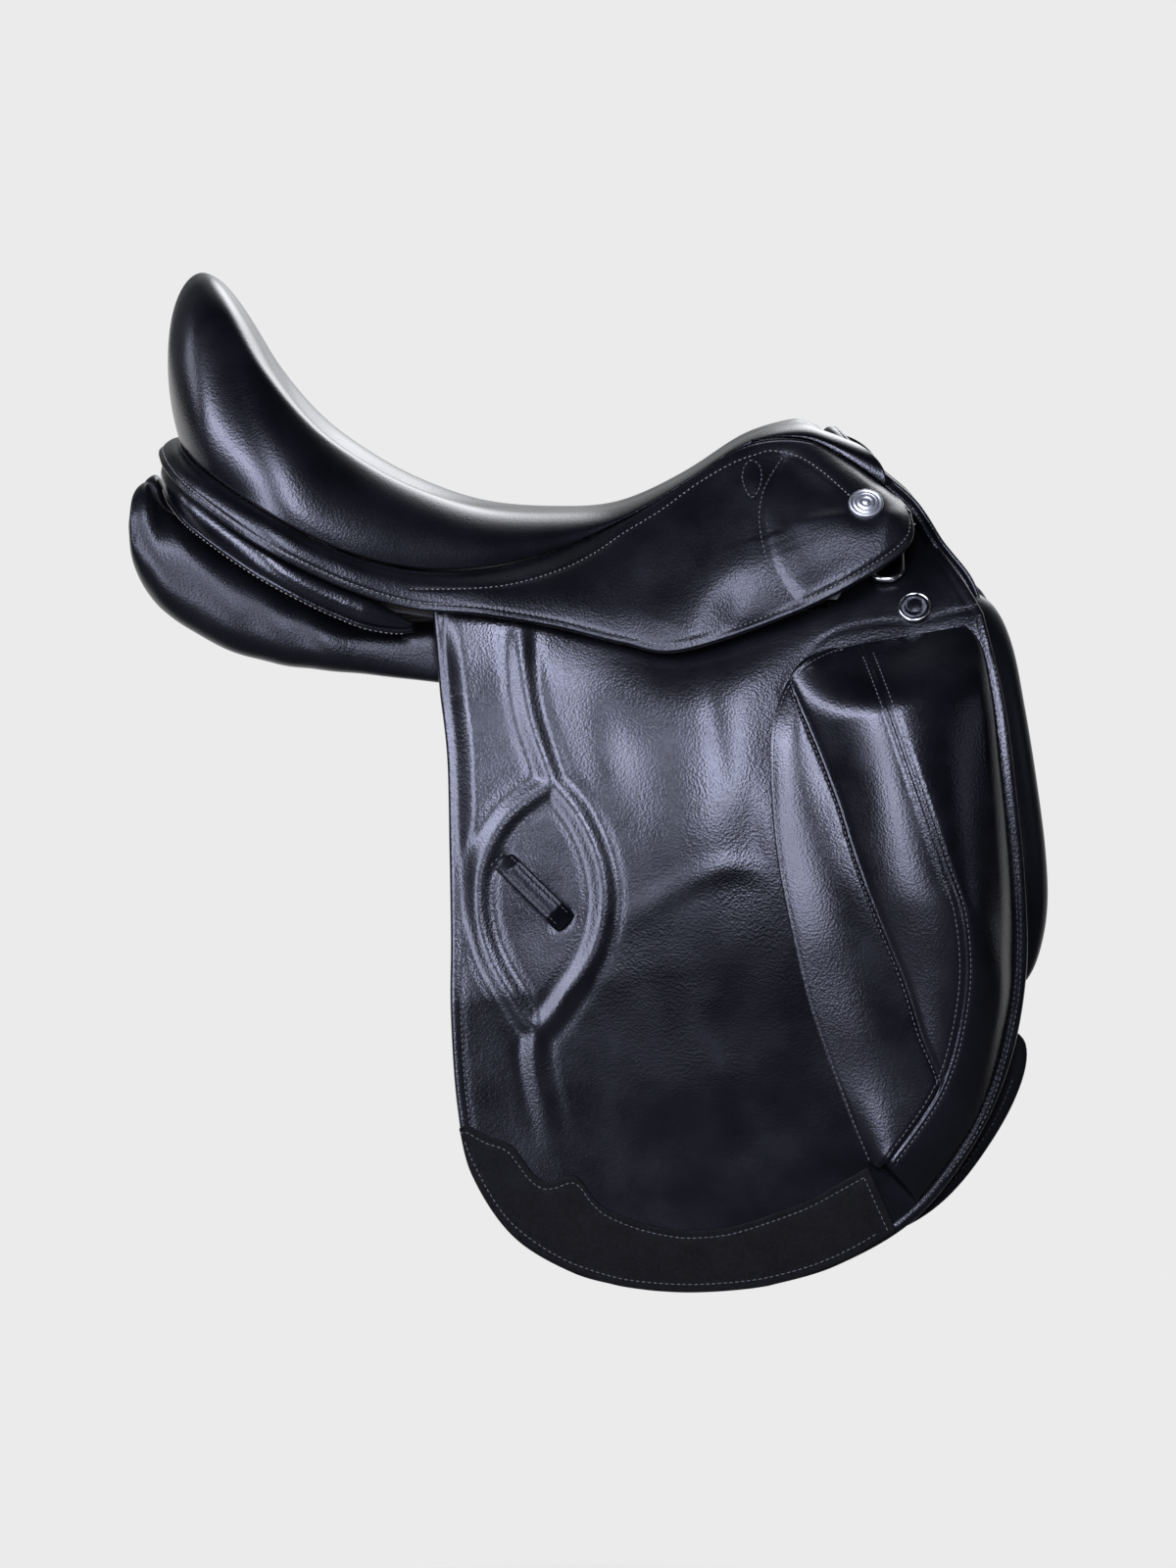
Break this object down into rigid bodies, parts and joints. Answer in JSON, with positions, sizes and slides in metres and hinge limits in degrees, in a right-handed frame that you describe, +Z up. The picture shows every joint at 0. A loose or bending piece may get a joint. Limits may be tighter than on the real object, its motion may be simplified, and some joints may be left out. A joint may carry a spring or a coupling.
{
  "type": "dressage saddle",
  "caption": "Black leather dressage saddle with a deep seat, long lifting flaps, thigh blocks, panels, stirrup bars and girth straps.",
  "frame": {"origin": "on the centre line, at the level where the middle of the panels bears on the back", "axes": "+X forward to the pommel, +Y to the horse's left, +Z up"},
  "size_m": [0.5756, 0.391, 0.631],
  "materials": {
    "black_leather": "smooth, satin",
    "lining_leather": "soft, matt",
    "strap_leather": "firm, satin",
    "suede": "napped, matt",
    "foam": "open cell",
    "webbing": "woven",
    "tree_wood": "laminated",
    "tree_steel": "spring steel",
    "steel": "forged, bright",
    "nickel": "polished",
    "button": "leather over a metal rim"
  },
  "bodies": {
    "saddle": {"tree_frame": "tree_wood", "head_plate": "tree_steel", "spring_left": "tree_steel", "spring_right": "tree_steel", "seat_webs": "webbing", "stirrup_bar_left": "steel", "stirrup_bar_right": "steel", "bar_rivets": "steel", "seat_foam": "foam", "seat_cover": "black_leather", "seat_welt": "black_leather", "skirt_left": "black_leather", "skirt_right": "black_leather", "pommel_facing": "black_leather", "cantle_roll": "black_leather", "pommel_stud_left": "nickel", "pommel_stud_right": "nickel", "flap_head_left": "black_leather", "flap_head_right": "black_leather", "flap_button_left": "button", "flap_button_right": "button", "dee_chape_left": "black_leather", "dee_chape_right": "black_leather", "sweat_flap_left": "lining_leather", "sweat_flap_right": "lining_leather", "girth_strap_front_left": "strap_leather", "girth_strap_front_right": "strap_leather", "girth_strap_rear_left": "strap_leather", "girth_strap_rear_right": "strap_leather", "strap_guide_left": "strap_leather", "strap_guide_right": "strap_leather", "panel_left": "lining_leather", "panel_right": "lining_leather", "gullet_lining": "lining_leather", "knee_roll_left": "black_leather", "knee_roll_right": "black_leather"},
    "flap_left": {"flap_left": "black_leather", "block_pad_left": "black_leather", "block_wing_left": "black_leather", "keeper_left": "black_leather", "flap_guard_left": "suede"},
    "bar_catch_left": {"bar_catch_left": "steel"},
    "front_dee_left": {"dee_ring_left": "nickel"},
    "flap_right": {"flap_right": "black_leather", "block_pad_right": "black_leather", "block_wing_right": "black_leather", "keeper_right": "black_leather", "flap_guard_right": "suede"},
    "bar_catch_right": {"bar_catch_right": "steel"},
    "front_dee_right": {"dee_ring_right": "nickel"}
  },
  "joints": [
    {"name": "flap_lift_left", "type": "hinge", "parent": "saddle", "child": "flap_left", "pos_m": [0.075, 0.1227, 0.017], "axis": [0.989, 0, 0.1478], "range_deg": [0, 75]},
    {"name": "bar_catch_left", "type": "hinge", "parent": "saddle", "child": "bar_catch_left", "pos_m": [0.104, 0.0837, 0.057], "axis": [0, 1, 0], "range_deg": [0, 75]},
    {"name": "front_dee_left", "type": "hinge", "parent": "saddle", "child": "front_dee_left", "pos_m": [0.187, 0.0826, 0.088], "axis": [1, 0, 0], "range_deg": [0, 11]},
    {"name": "flap_lift_right", "type": "hinge", "parent": "saddle", "child": "flap_right", "pos_m": [0.075, -0.1227, 0.017], "axis": [-0.989, 0, -0.1478], "range_deg": [0, 75]},
    {"name": "bar_catch_right", "type": "hinge", "parent": "saddle", "child": "bar_catch_right", "pos_m": [0.104, -0.0837, 0.057], "axis": [0, 1, 0], "range_deg": [0, 75]},
    {"name": "front_dee_right", "type": "hinge", "parent": "saddle", "child": "front_dee_right", "pos_m": [0.187, -0.0826, 0.088], "axis": [-1, 0, 0], "range_deg": [0, 11]}
  ]
}
